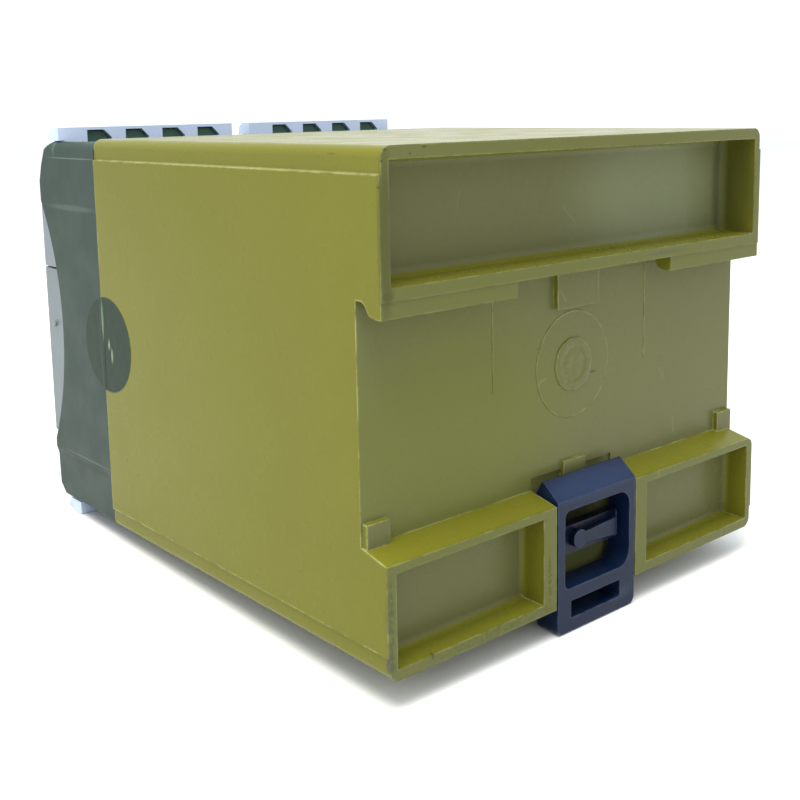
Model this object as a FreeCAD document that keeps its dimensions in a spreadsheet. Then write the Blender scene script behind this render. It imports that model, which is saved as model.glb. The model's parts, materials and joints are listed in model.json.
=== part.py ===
"""Rail-mounted safety relay, 90 mm wide: casing, rail latch, terminal strips and the works inside.

Row frame: +Z up, the front faces -Y, the origin is the middle of the rail seat.
Sizes are written in the casing's own terms, which three helpers turn into the row frame:
across runs from the casing's left side as seen from behind (+X), deep runs from its rear
face towards the front, and up runs from its underside.
"""
import FreeCAD, Part
import os
import re
import Sketcher

SIZES = {
    # casing
    "width": 90, "height": 75, "housing_depth": 83.1, "full_depth": 111.6, "skin": 1.8,
    "panel_step": 0.35, "ledge_low": 3.8, "ledge_high": 71.2, "long_edge_round": 1.7,
    "corner_round": 1.5,
    # rail seat: a 35 mm top-hat rail lies on the pads between the hook lips and the latch
    "below_rail": 36.25, "rear_stand": 4.6, "floor_deep": 5.6, "rail_low": 18.6, "rail_high": 53.9,
    "lip_low": 51.7, "lip_back": 0.15, "lip_flat": 1.25, "lip_nose": 2.7, "lip_nose_up": 52.05,
    "lip_slant": 3.75, "lip_slant_up": 53.55, "lip_run_out": 4.4, "lip_length": 26.3,
    "block_rear_up": 17.2, "rim_low": 54.1, "pad_high": 21.9, "corner_pad": 4.6,
    "low_pad_half": 2.7, "low_pad_from": 5, "top_pad_across": 40.3, "top_pad_width": 10.1,
    "top_pad_up": 47.4,
    # moulded pockets in the rear face
    "rim": 1.7, "upper_floor": 7, "upper_low": 56, "upper_high": 73.1, "upper_round": 1.6,
    "lower_floor": 4.8, "lower_high": 15.9, "lower_reach": 32, "lower_round": 1.2,
    # latch slot between the lower blocks
    "slot_half": 10, "slot_deep": 5.9, "groove_half": 10.9, "groove_from": 2.7, "groove_to": 4.9,
    "groove_low": 0.3, "groove_high": 13.3,
    # hollow of the housing and its board guides
    "hollow_low_from": 7.7, "hollow_high_from": 9.2, "hollow_step": 53, "guide_height": 1.6,
    "guide_width": 1, "guide_from": 12, "guide_end": 78,
    # latch
    "latch_half": 9.7, "latch_low": -4.6, "latch_shoulder": 17.7, "latch_tip": 20.4,
    "latch_tip_deep": 3.2, "latch_tip_flat": 0.3, "latch_thick": 4.6, "latch_seat": 18.5,
    "latch_round": 1.2, "window_from": 37, "window_to": 53.3, "window_low": 2.7,
    "window_high": 15.8, "window_round": 2.6, "window_tight": 1.1, "driver_from": 38.5,
    "driver_to": 50.9, "driver_low": -2.4, "driver_high": 0.5, "web_from": 2.9, "web_low": 6.8,
    "web_slant": 40.8, "web_slant_up": 8.6, "web_high": 11.7, "tongue_from": 1.6,
    "head_across": 42.6, "head_up": 9.5, "head_radius": 1.55,
    "wedge_from": 43.4, "wedge_to": 52, "neck_low": 8.7, "neck_high": 10.4, "wedge_low": 7.8,
    "wedge_high": 10.9, "spur_width": 0.4, "spur_up": 11.9, "runner_half": 10.7,
    "runner_from": 2.9, "runner_low": 4, "runner_high": 13,
    # front cover
    "cover_inset": 0.2, "cover_low": 0.5, "cover_high": 74.4, "cover_chin": 102.4, "chin_up": 0.9,
    "chin_deep": 105.5, "jaw_up": 3, "jaw_deep": 107.8, "scallop_low": 13.2, "scallop_high": 60.4,
    "scallop_deep": 108.2, "scallop_radius": 48.5, "scallop_bed": 101.3, "scallop_mid": 37.5,
    "brow_up": 66.4, "brow_top_up": 69.8, "brow_top_deep": 106.9, "crown_up": 72.8,
    "crown_deep": 105.2, "crown_end": 102.6, "tray_deep": 90.5, "band_low": 9.6, "band_high": 11.4,
    "band_step": 0.55, "shelf_from": 92, "shelf_up": 71.5, "bay_low": 14.5,
    "bay_high": 60.5, "mirror_up": 37.5, "collar": 2.5,
    # front plate and indicator panel
    "plate_inset": 1.1, "plate_low": 14, "plate_split": 48.7, "plate_high": 61.5,
    "plate_from": 100, "plate_thick": 2, "plate_wall": 1.4, "cheek_clear": 2.05, "joint_gap": 0.15,
    "plate_round": 2, "peg_up": 37.2, "peg_deep": 106.6, "peg_radius": 0.65, "field_step": 0.4,
    "field_from": 6, "field_low": 17.5, "field_high": 45,
    # terminal strips
    "strip_start": 1, "strip_pitch": 44.6, "strip_length": 40.1, "strip_rear": 99.8,
    "strip_low": 61.9, "strip_top": 77.1, "strip_top_front": 102.8, "strip_nose": 103.9,
    "strip_nose_up": 76.3, "strip_face": 106.4, "strip_face_up": 66, "strip_step": 1.05,
    "pole_first": 6.2, "pole_pitch": 8.42, "notch_width": 5.3, "notch_top": 3.6,
    "notch_low": 70, "notch_knee": 74.9, "notch_high": 76.5, "notch_deep": 2.8,
    "key_gap": 0.2, "key_from": 0.8, "screw_up": 67.3, "screw_hole": 2.8,
    # clamps, screws and pins
    "clamp_half": 3.2, "clamp_from": 92.2, "clamp_to": 99.5, "clamp_low": 63.4, "clamp_high": 69.7,
    "clamp_wall": 0.9, "clamp_room": 0.2, "wire_half": 2.5, "wire_from": 93.6, "wire_to": 97.5,
    "screw_head": 2.6, "head_front": 105, "head_back": 102.6, "screw_shank": 1.2,
    "shank_back": 93.5, "pin_half": 0.5, "pin_from": 85.6,
    # circuit boards
    "board_thick": 1.6, "face_board_from": 87.4, "board_edge": 4, "side_board_low": 2.6,
    "side_board_from": 12.5, "side_board_to": 85.4, "left_board_across": 8,
    "header_width": 5, "header_low": 18, "header_high": 58, "header_from": 80,
    # relays
    "relay_tall": 25.5, "relay_long": 40, "relay_thick": 13, "relay_low": 17.5,
    "relay_first": 19, "relay_pitch": 16.5, "relay_standoff": 0.6,
    # transformer
    "core_from": 20, "core_long": 36, "core_low": 22, "core_high": 54, "core_tall": 13,
    "core_lift": 8, "core_limb": 6, "coil_half": 9.4, "coil_reach": 3.6, "bobbin_wall": 1,
    "foot_thick": 2.4,
    # capacitors and small parts on the supply board
    "can_radius": 6.25, "can_tall": 25, "can_deep": 68, "can_low": 20, "can_pitch": 17,
    "fuse_from": 57, "fuse_low": 58, "fuse_long": 20, "fuse_half": 2.6,
    "fuse_lift": 5, "cap_long": 5, "disc_radius": 6, "disc_thick": 4, "disc_deep": 15.5,
    "disc_up": 62, "bridge_long": 4.5, "bridge_tall": 13, "bridge_wide": 18, "bridge_low": 12,
    # indicators
    "lamp_first": 20, "lamp_pitch": 12.5, "lamp_up": 55.2, "lamp_radius": 1.5, "lamp_tall": 4.5,
    "guide_tall": 1.3, "guide_broad": 2.4, "guide_wide": 3.2, "guide_bar": 1.5, "guide_start": 94.5,
    # round seal over the joint between housing and cover
    "seal_radius": 9.1, "seal_deep": 81.2, "seal_up": 36.5, "seal_thick": 0.12,
    # spare length by which a cutter passes its work
    "spare": 2,
}
SIDES = ("left", "right")
POLES = range(4)
RELAYS = range(3)
CANS = range(2)
LAMPS = ("led_supply", "led_channel_one", "led_channel_two")

doc = FreeCAD.newDocument("safety_relay")
sheet = doc.addObject("Spreadsheet::Sheet", "Sheet")
for row, (alias, size) in enumerate(SIZES.items(), start=1):
    sheet.set(f"A{row}", alias.replace("_", " "))
    sheet.set(f"B{row}", str(size))
    sheet.setAlias(f"B{row}", alias)
doc.recompute()
nodes = []


def formula(text):
    """Puts the sheet's name before each word of an expression."""
    return re.sub(r"[a-z][a-z_]+", lambda word: "Sheet." + word.group(0), text)


def bind(item, **sizes):
    """Binds properties of an object to expressions; two underscores stand for a dot."""
    for name, text in sizes.items():
        item.setExpression(name.replace("__", "."), formula(text))


def row_x(across):
    return f"width / 2 - ({across})"


def row_y(deep):
    return f"rear_stand - ({deep})"


def row_z(up):
    return f"({up}) - below_rail"


def span(ends):
    return f"({ends[1]}) - ({ends[0]})"


def around(middle, half):
    """The span of a given half width about a middle."""
    return (f"({middle}) - ({half})", f"({middle}) + ({half})")


def block(name, across, deep, up):
    """A box between two distances each way."""
    item = doc.addObject("Part::Box", name)
    bind(item, Length=span(across), Width=span(deep), Height=span(up),
         Placement__Base__x=row_x(across[1]), Placement__Base__y=row_y(deep[1]),
         Placement__Base__z=row_z(up[0]))
    return item


def rod(name, along, first, second, ends, radius):
    """A round bar along one direction; first and second place its axis in the other two."""
    item = doc.addObject("Part::Cylinder", name)
    bind(item, Radius=radius, Height=span(ends))
    turn = {"across": (FreeCAD.Vector(0, 1, 0), 90), "deep": (FreeCAD.Vector(1, 0, 0), 90),
            "up": (FreeCAD.Vector(0, 0, 1), 0)}[along]
    item.Placement = FreeCAD.Placement(FreeCAD.Vector(), FreeCAD.Rotation(*turn))
    place = {"across": (row_x(ends[1]), row_y(first), row_z(second)),
             "deep": (row_x(first), row_y(ends[0]), row_z(second)),
             "up": (row_x(first), row_y(second), row_z(ends[0]))}[along]
    bind(item, Placement__Base__x=place[0], Placement__Base__y=place[1],
         Placement__Base__z=place[2])
    return item


def prism(name, plane, corners, ends):
    """A padded sketch: "side" corners are (deep, up) and it runs across, "rear" corners are
    (across, up) and it runs deep."""
    body = doc.addObject("PartDesign::Body", name)
    sketch = body.newObject("Sketcher::SketchObject", name + "_outline")
    role = {"side": "YZ_Plane", "rear": "XZ_Plane"}[plane]
    origin_plane = [item for item in body.Origin.OriginFeatures if item.Role == role][0]
    sketch.AttachmentSupport = [(origin_plane, "")]
    sketch.MapMode = "FlatFace"
    count = len(corners)
    ring = [FreeCAD.Vector(50, 0, 0)]
    turn = FreeCAD.Rotation(FreeCAD.Vector(0, 0, 1), 360 / count)
    for _ in corners[1:]:
        ring.append(turn.multVec(ring[-1]))
    for index in range(count):
        sketch.addGeometry(Part.LineSegment(ring[index], ring[(index + 1) % count]), False)
    for index in range(count):
        sketch.addConstraint(Sketcher.Constraint("Coincident", index, 2, (index + 1) % count, 1))
    to_row = row_y if plane == "side" else row_x
    for index, (first, up) in enumerate(corners):
        for kind, text in (("DistanceX", to_row(first)), ("DistanceY", row_z(up))):
            held = sketch.addConstraint(Sketcher.Constraint(kind, -1, 1, index, 1, 1.0))
            sketch.setExpression(f"Constraints[{held}]", formula(text))
    pad = body.newObject("PartDesign::Pad", name + "_pad")
    pad.Profile = sketch
    bind(pad, Length=span(ends))
    if plane == "side":
        bind(body, Placement__Base__x=row_x(ends[1]))
    else:
        bind(body, Placement__Base__y=row_y(ends[0]))
    return body


def fused(name, items):
    item = doc.addObject("Part::MultiFuse", name)
    item.Shapes = items
    return item


def cut(name, base, tools):
    """base less every tool."""
    item = doc.addObject("Part::Cut", name)
    item.Base = base
    item.Tool = tools[0] if len(tools) == 1 else fused(name + "_tools", tools)
    return item


def group(name, items):
    """Separate solids kept in one object."""
    item = doc.addObject("Part::Compound", name)
    item.Links = items
    return item


def flipped(name, source):
    """The mirror image below the cover's middle."""
    item = doc.addObject("Part::Mirroring", name)
    item.Source = source
    item.Normal = FreeCAD.Vector(0, 0, 1)
    bind(item, Base__z=row_z("mirror_up"))
    return item


def rounded(name, base, radius, chosen):
    """base with each edge for which chosen is true rounded."""
    doc.recompute()
    size = SIZES[radius]
    edges = [(number, size, size) for number, edge in enumerate(base.Shape.Edges, start=1)
             if chosen(edge)]
    item = doc.addObject("Part::Fillet", name)
    item.Base = base
    item.Edges = edges
    return item


def runs_along(edge, axis):
    """True for a straight edge parallel to a row axis, 0 to 2."""
    if edge.Curve.TypeId != "Part::GeomLine":
        return False
    return abs(edge.Curve.Direction[axis]) > 0.999


def near(value, target):
    return abs(value - target) < 0.02


def node(item, label):
    """Names a finished sub-part."""
    item.Label = label
    nodes.append(item)
    return item


def ledges(prefix, deep):
    """Cutters that leave a slightly proud panel on each side, clear of the long edges."""
    spans = {"left": ("-spare", "panel_step"), "right": ("width - panel_step", "width + spare")}
    heights = {"low": ("-spare", "ledge_low"), "high": ("ledge_high", "height + spare")}
    return [block(f"{prefix}_{side}_{level}", spans[side], deep, heights[level])
            for side in SIDES for level in heights]


def mirrored_across(ends):
    """The same span measured from the casing's other side."""
    return (f"width - ({ends[1]})", f"width - ({ends[0]})")


def build_housing():
    """Rear housing: a deep moulded cup with the rail seat formed in its closed end."""
    outline = [("0", "0"), ("housing_depth", "0"), ("housing_depth", "height"), ("0", "height"),
               ("0", "rim_low"), ("lip_back", "rim_low"), ("lip_back", "lip_low"),
               ("lip_flat", "lip_low"), ("lip_nose", "lip_nose_up"),
               ("lip_slant", "lip_slant_up"), ("lip_run_out", "rail_high"),
               ("floor_deep", "rail_high"), ("floor_deep", "latch_seat"), ("0", "block_rear_up")]
    shell = prism("housing_profile", "side", outline, ("0", "width"))
    shell = cut("housing_panels", shell, ledges("housing_ledge", ("-spare", "housing_depth + spare")))
    bounds = SIZES["width"] / 2 - SIZES["panel_step"]
    low = -SIZES["below_rail"]
    high = SIZES["height"] + low
    shell = rounded("housing_edges", shell, "long_edge_round",
                    lambda edge: runs_along(edge, 1) and edge.Length > 50
                    and near(abs(edge.CenterOfMass.x), bounds)
                    and (near(edge.CenterOfMass.z, low) or near(edge.CenterOfMass.z, high)))
    shell = rounded("housing_corner", shell, "corner_round",
                    lambda edge: near(edge.CenterOfMass.x, -bounds - SIZES["panel_step"])
                    and edge.BoundBox.YLength > 1 and edge.BoundBox.ZLength > 1
                    and SIZES["block_rear_up"] + low < edge.CenterOfMass.z < SIZES["rail_low"] + low)
    inner = ("skin", "width - skin")
    upper = block("upper_pocket", ("rim", "width - rim"), ("-spare", "upper_floor"),
                  ("upper_low", "upper_high"))
    upper = rounded("upper_pocket_round", upper, "upper_round",
                    lambda edge: near(edge.CenterOfMass.y, SIZES["rear_stand"] - SIZES["upper_floor"]))
    tools = [upper]
    for side, reach in (("left", ("rim", "lower_reach")),
                        ("right", mirrored_across(("rim", "lower_reach")))):
        pocket = block(f"lower_pocket_{side}", reach, ("-spare", "lower_floor"),
                       ("rim", "lower_high"))
        floor = SIZES["rear_stand"] - SIZES["lower_floor"]
        tools.append(rounded(f"lower_pocket_{side}_round", pocket, "lower_round",
                             lambda edge: near(edge.CenterOfMass.y, floor)))
    tools += [
        block("lip_gap", ("lip_length", "width - lip_length"), ("-spare", "floor_deep"),
              ("lip_low - spare", "rim_low")),
        block("latch_slot", around("width / 2", "slot_half"), ("-spare", "slot_deep"),
              ("-spare", "latch_seat + spare")),
        block("latch_groove", around("width / 2", "groove_half"), ("groove_from", "groove_to"),
              ("groove_low", "groove_high")),
        block("hollow_low", inner, ("hollow_low_from", "housing_depth + spare"),
              ("skin", "hollow_step")),
        block("hollow_high", inner, ("hollow_high_from", "housing_depth + spare"),
              ("skin", "height - skin")),
    ]
    shell = cut("housing_hollow", shell, tools)
    seat = ("rear_stand", "floor_deep + skin / 2")
    added = [
        block("pad_low_left", ("panel_step", "corner_pad"), seat, ("latch_seat - skin", "pad_high")),
        block("pad_low_right", mirrored_across(("panel_step", "corner_pad")), seat,
              ("latch_seat - skin", "pad_high")),
        block("pad_low_middle", around("width / 2", "low_pad_half"),
              ("low_pad_from", "slot_deep + skin / 2"), ("latch_seat - skin", "pad_high")),
        block("pad_top", ("top_pad_across", "top_pad_across + top_pad_width"), seat,
              ("top_pad_up", "rim_low")),
    ]
    starts = {"left": "left_board_across", "right": "width - left_board_across - board_thick"}
    walls = {"low": ("skin / 2", "skin + guide_height"),
             "high": ("height - skin - guide_height", "height - skin / 2")}
    for side, start in starts.items():
        for level, up in walls.items():
            flanks = {"near": (f"{start} - guide_width", start),
                      "far": (f"{start} + board_thick", f"{start} + board_thick + guide_width")}
            for place, across in flanks.items():
                added.append(block(f"board_guide_{side}_{level}_{place}", across,
                                   ("guide_from", "guide_end"), up))
    node(fused("housing", [shell] + added), "housing")


def build_latch():
    """Rail latch: a moulded slide with a bevelled nose, a window and an integral spring tongue."""
    sides = around("width / 2", "latch_half")
    outline = [("0", "latch_low"), ("0", "latch_shoulder"), ("latch_tip_deep", "latch_tip"),
               ("latch_tip_deep + latch_tip_flat", "latch_tip"), ("latch_thick", "latch_seat"),
               ("latch_thick", "latch_low")]
    plate = prism("latch_profile", "side", outline, sides)
    foot = SIZES["latch_low"] - SIZES["below_rail"]
    plate = rounded("latch_foot", plate, "latch_round",
                    lambda edge: near(edge.CenterOfMass.z, foot) and not near(
                        edge.CenterOfMass.y, SIZES["rear_stand"]))
    window = block("latch_window", ("window_from", "window_to"), ("-spare", "latch_thick + spare"),
                   ("window_low", "window_high"))
    middle = (SIZES["width"] - SIZES["window_from"] - SIZES["window_to"]) / 2
    window = rounded("latch_window_tight", window, "window_tight",
                     lambda edge: runs_along(edge, 1) and edge.CenterOfMass.x > middle)
    window = rounded("latch_window_round", window, "window_round",
                     lambda edge: runs_along(edge, 1) and edge.CenterOfMass.x < middle
                     and edge.Length > SIZES["latch_thick"])
    driver = block("latch_driver_slot", ("driver_from", "driver_to"),
                   ("-spare", "latch_thick + spare"), ("driver_low", "driver_high"))
    plate = cut("latch_plate", plate, [window, driver])
    left = "window_from - pin_half"
    right = "window_to + pin_half"
    web = prism("latch_web", "rear",
                [(left, "web_slant_up"), ("web_slant", "web_low"), (right, "web_low"),
                 (right, "web_high"), (left, "web_high")], ("web_from", "latch_thick"))
    head = rod("tongue_head", "deep", "head_across", "head_up", ("tongue_from", "web_from + spare / 4"),
               "head_radius")
    wedge = prism("tongue_wedge", "rear",
                  [("wedge_from", "neck_high"), ("wedge_to", "wedge_high"), ("wedge_to", "wedge_low"),
                   ("wedge_from", "neck_low")], ("tongue_from", "web_from + spare / 4"))
    spur = block("tongue_spur", ("wedge_to - spur_width", "wedge_to"),
                 ("tongue_from", "web_from + spare / 4"), ("wedge_low", "spur_up"))
    runners = block("latch_runners", around("width / 2", "runner_half"), ("runner_from", "latch_thick"),
                    ("runner_low", "runner_high"))
    runners = cut("latch_runner_pair", runners,
                  [block("latch_runner_gap", ("window_from - spare / 4", "window_to + spare / 4"),
                         ("0", "latch_thick + spare"), ("0", "window_high"))])
    node(fused("rail_latch", [plate, web, head, wedge, spur, runners]), "rail_latch")


def pole_start(side, pole):
    """Distance across at which a pole's notch starts."""
    return f"strip_start + {SIDES.index(side)} * strip_pitch + pole_first + {pole} * pole_pitch"


def pole_middle(side, pole):
    return f"{pole_start(side, pole)} + notch_width / 2"


def build_cover():
    """Front cover: cheeks with a scalloped front edge round a tray, and a row of clamp chambers
    with a wiring shelf along the top and the bottom."""
    outline = [("housing_depth", "cover_low"), ("cover_chin", "cover_low"), ("chin_deep", "chin_up"),
               ("jaw_deep", "jaw_up"), ("scallop_deep", "scallop_low"),
               ("scallop_deep", "scallop_high"), ("scallop_deep", "brow_up"),
               ("brow_top_deep", "brow_top_up"), ("crown_deep", "crown_up"),
               ("crown_end", "cover_high"), ("housing_depth", "cover_high")]
    hood = prism("cover_profile", "side", outline, ("cover_inset", "width - cover_inset"))
    scallop = rod("cover_scallop", "across", "scallop_bed + scallop_radius", "scallop_mid",
                  ("-spare", "width + spare"), "scallop_radius")
    past = ("housing_depth - spare", "full_depth + spare")
    hood = cut("cover_scalloped", hood, [scallop])
    bounds = SIZES["width"] / 2 - SIZES["cover_inset"]
    low = SIZES["cover_low"] - SIZES["below_rail"]
    high = SIZES["cover_high"] - SIZES["below_rail"]
    hood = rounded("cover_edges", hood, "long_edge_round",
                   lambda edge: runs_along(edge, 1) and edge.Length > 10
                   and near(abs(edge.CenterOfMass.x), bounds)
                   and (near(edge.CenterOfMass.z, low) or near(edge.CenterOfMass.z, high)))
    inner = ("skin", "width - skin")
    tools = [
        block("cover_tray", inner, ("housing_depth - spare", "tray_deep"),
              ("cover_low + skin", "cover_high - skin")),
        block("cover_bay", inner, ("tray_deep - spare", "full_depth + spare"),
              ("bay_low", "bay_high")),
        block("plate_seat", inner, ("plate_from", "full_depth + spare"),
              ("plate_low - joint_gap", "plate_high + joint_gap")),
    ]
    band = [("band_step", "band_low"), ("0", "band_high"), ("-spare", "band_high"),
            ("-spare", "-spare"), ("band_step", "-spare")]
    tools.append(prism("cover_band_left", "rear", band, past))
    other = [(f"width - ({across})", up) for across, up in band]
    tools.append(prism("cover_band_right", "rear", other, past))
    upper = [block("cover_shelf", ("cheek_clear", "width - cheek_clear"), ("shelf_from", "strip_rear"),
                   ("shelf_up", "height + spare"))]
    keys = []
    for side in SIDES:
        start = f"strip_start + {SIDES.index(side)} * strip_pitch"
        upper.append(block(f"strip_seat_{side}",
                           (f"{start} + strip_step", f"{start} + strip_length"),
                           ("strip_rear", "full_depth + spare"), ("strip_low", "height + spare")))
        for pole in POLES:
            middle = pole_middle(side, pole)
            upper.append(block(f"clamp_chamber_{side}_{pole}", around(middle, "clamp_half + clamp_room"),
                               ("clamp_from - clamp_room", "strip_rear + spare / 2"),
                               ("clamp_low - clamp_room", "clamp_high + clamp_room")))
            upper.append(block(f"wire_entry_{side}_{pole}", around(middle, "wire_half"),
                               ("wire_from", "wire_to"), ("clamp_high", "shelf_up + spare")))
            upper.append(block(f"pin_hole_{side}_{pole}", around(middle, "pin_half * 2"),
                               ("tray_deep - spare", "clamp_from"), around("screw_up", "pin_half * 2")))
            key_start = f"{pole_start(side, pole)} + key_gap"
            key_end = f"{pole_start(side, pole)} + notch_width - key_gap"
            key = prism(f"strip_key_{side}_{pole}", "rear",
                        [(key_start, "notch_low + key_gap"), (key_end, "notch_low + key_gap"),
                         (key_end, "notch_knee"),
                         (f"{pole_start(side, pole)} + notch_top - key_gap", "notch_high - key_gap"),
                         (key_start, "notch_high - key_gap")],
                        ("strip_rear + key_from", "strip_rear + notch_deep - key_gap"))
            foot = block(f"strip_key_foot_{side}_{pole}", (key_start, key_end),
                         ("strip_rear - key_gap", "strip_rear + notch_deep - key_gap"),
                         ("notch_low + key_gap", "shelf_up"))
            keys += [key, foot]
    upper_tools = fused("cover_upper_tools", upper)
    upper_keys = fused("cover_upper_keys", keys)
    tools += [upper_tools, flipped("cover_lower_tools", upper_tools)]
    hood = cut("cover_hood", hood, tools)
    collars = [block(f"cover_collar_{side}", across, ("housing_depth - collar", "housing_depth + skin"),
                     ("bay_low", "bay_high"))
               for side, across in (("left", ("skin", "skin * 2 - panel_step")),
                                    ("right", mirrored_across(("skin", "skin * 2 - panel_step"))))]
    node(fused("front_cover", [hood, upper_keys, flipped("cover_lower_keys", upper_keys)] + collars),
         "front_cover")


def build_front_plate():
    """Front plate and indicator panel: caps whose sides fill the scallops of the cheeks."""
    bed = rod("plate_bed", "across", "scallop_bed + scallop_radius", "scallop_mid",
              ("-spare", "width + spare"), "scallop_radius - joint_gap")
    for label, up in (("front_plate", ("plate_low", "plate_split - joint_gap")),
                      ("indicator_panel", ("plate_split + joint_gap", "plate_high"))):
        cap = block(f"{label}_slab", ("plate_inset", "width - plate_inset"),
                    ("plate_from", "full_depth"), up)
        front = SIZES["rear_stand"] - SIZES["full_depth"]
        cap = rounded(f"{label}_edges", cap, "plate_round",
                      lambda edge: near(edge.CenterOfMass.y, front) and runs_along(edge, 2))
        margins = [cut(f"{label}_cheek_{side}",
                       block(f"{label}_cheek_block_{side}", ends, ("tray_deep", "full_depth + spare"),
                             ("0", "height")), [bed])
                   for side, ends in (("left", ("-spare", "cheek_clear")),
                                      ("right", ("width - cheek_clear", "width + spare")))]
        hollow = block(f"{label}_hollow", ("cheek_clear + plate_wall",
                                           "width - cheek_clear - plate_wall"),
                       ("plate_from - spare", "full_depth - plate_thick"),
                       (f"{up[0]} + plate_wall", f"{up[1]} - plate_wall"))
        tools = margins + [hollow]
        if label == "front_plate":
            tools.append(block("label_field", ("field_from", "width - field_from"),
                               ("full_depth - field_step", "full_depth + spare"),
                               ("field_low", "field_high")))
            cap = cut("front_plate_cap", cap, tools)
            pegs = [rod(f"plate_peg_{side}", "across", "peg_deep", "peg_up", ends, "peg_radius")
                    for side, ends in (("left", ("plate_inset - joint_gap * 3", "plate_inset + joint_gap")),
                                       ("right", ("width - plate_inset - joint_gap",
                                                  "width - plate_inset + joint_gap * 3")))]
            node(fused("front_plate", [cap] + pegs), "front_plate")
        else:
            for lamp in range(len(LAMPS)):
                middle = f"lamp_first + {lamp} * lamp_pitch"
                tools.append(block(f"lamp_window_{lamp}", around(middle, "guide_broad + joint_gap"),
                                   ("plate_from", "full_depth + spare"),
                                   around("lamp_up", "guide_tall + joint_gap")))
            node(cut("indicator_panel", cap, tools), "indicator_panel")


def build_indicators():
    """Light guide behind the indicator panel, and the lamps on the terminal board."""
    middles = [f"lamp_first + {lamp} * lamp_pitch" for lamp in range(len(LAMPS))]
    inside = "full_depth - plate_thick"
    parts = [block("light_guide_bar", (f"{middles[0]} - guide_wide", f"{middles[-1]} + guide_wide"),
                   (f"{inside} - guide_bar", inside), around("lamp_up", "guide_wide"))]
    for lamp, middle in enumerate(middles):
        parts.append(block(f"light_guide_prong_{lamp}", around(middle, "guide_broad"),
                           (inside, "full_depth"), around("lamp_up", "guide_tall")))
        parts.append(block(f"light_guide_pipe_{lamp}", around(middle, "guide_tall"),
                           ("guide_start", f"{inside} - guide_bar"), around("lamp_up", "guide_tall")))
    node(fused("light_guide", parts), "light_guide")
    for label, middle in zip(LAMPS, middles):
        start = "face_board_from + board_thick"
        bulb = rod(f"{label}_body", "deep", middle, "lamp_up", (start, f"{start} + lamp_tall"),
                   "lamp_radius")
        base = block(f"{label}_base", around(middle, "lamp_radius + joint_gap"),
                     (start, f"{start} + pin_half * 2"), around("lamp_up", "lamp_radius + joint_gap"))
        node(fused(label, [bulb, base]), label)


def screw_head(name, middle):
    """A plain round head with a few flat sides; its cross recess is left out."""
    head = doc.addObject("Part::Prism", name)
    head.Polygon = 16
    bind(head, Circumradius="screw_head", Height="head_front - head_back",
         Placement__Base__x=row_x(middle), Placement__Base__y=row_y("head_back"),
         Placement__Base__z=row_z("screw_up"))
    head.Placement.Rotation = FreeCAD.Rotation(FreeCAD.Vector(1, 0, 0), 90)
    return head


def build_terminals():
    """Four terminal strips with their screws, clamps and board pins; the lower ones mirror the
    upper ones."""
    for side in SIDES:
        start = f"strip_start + {SIDES.index(side)} * strip_pitch"
        end = f"{start} + strip_length"
        outline = [("strip_rear", "strip_low"), ("strip_rear", "strip_top"),
                   ("strip_top_front", "strip_top"), ("strip_nose", "strip_nose_up"),
                   ("strip_face", "strip_face_up"), ("strip_face", "strip_low")]
        bar = prism(f"strip_profile_{side}", "side", outline, (start, end))
        tools = [block(f"strip_lip_{side}", (f"{start} - spare", f"{start} + strip_step + joint_gap"),
                       ("strip_rear - spare", "strip_face + spare"), ("0", "cover_high + joint_gap"))]
        screws = []
        clamps = []
        pins = []
        for pole in POLES:
            notch = pole_start(side, pole)
            middle = pole_middle(side, pole)
            tag = f"{side}_{pole}"
            tools.append(prism(f"notch_{tag}", "rear",
                               [(notch, "notch_low"), (f"{notch} + notch_width", "notch_low"),
                                (f"{notch} + notch_width", "notch_knee"),
                                (f"{notch} + notch_top", "notch_high"), (notch, "notch_high")],
                               ("strip_rear - spare", "strip_rear + notch_deep")))
            tools.append(rod(f"screw_hole_{tag}", "deep", middle, "screw_up",
                             ("strip_rear - spare", "full_depth + spare"), "screw_hole"))
            head = screw_head(f"screw_head_{tag}", middle)
            shank = block(f"screw_shank_{tag}", around(middle, "screw_shank"),
                          ("shank_back", "head_back + joint_gap"), around("screw_up", "screw_shank"))
            screws.append(fused(f"screw_{tag}", [head, shank]))
            cage = block(f"cage_{tag}", around(middle, "clamp_half"), ("clamp_from", "clamp_to"),
                         ("clamp_low", "clamp_high"))
            throat = block(f"cage_throat_{tag}", around(middle, "clamp_half - clamp_wall"),
                           ("wire_from - key_gap", "wire_to + key_gap"),
                           ("clamp_low + clamp_wall", "clamp_high + spare"))
            bore = block(f"cage_bore_{tag}", around(middle, "screw_shank"),
                         ("wire_from", "clamp_to + spare"), around("screw_up", "screw_shank"))
            clamps.append(cut(f"clamp_{tag}", cage, [throat, bore]))
            pins.append(block(f"pin_{tag}", around(middle, "pin_half"), ("pin_from", "clamp_from"),
                              around("screw_up", "pin_half")))
        strip = cut(f"strip_{side}", bar, tools)
        sets = {"terminal_strip": strip, "terminal_screws": group(f"screws_{side}", screws),
                "terminal_clamps": group(f"clamps_{side}", clamps),
                "contact_pins": group(f"pins_{side}", pins)}
        for stem, upper in sets.items():
            node(upper, f"{stem}_top_{side}")
            node(flipped(f"{stem}_lower_{side}", upper), f"{stem}_bottom_{side}")


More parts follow.
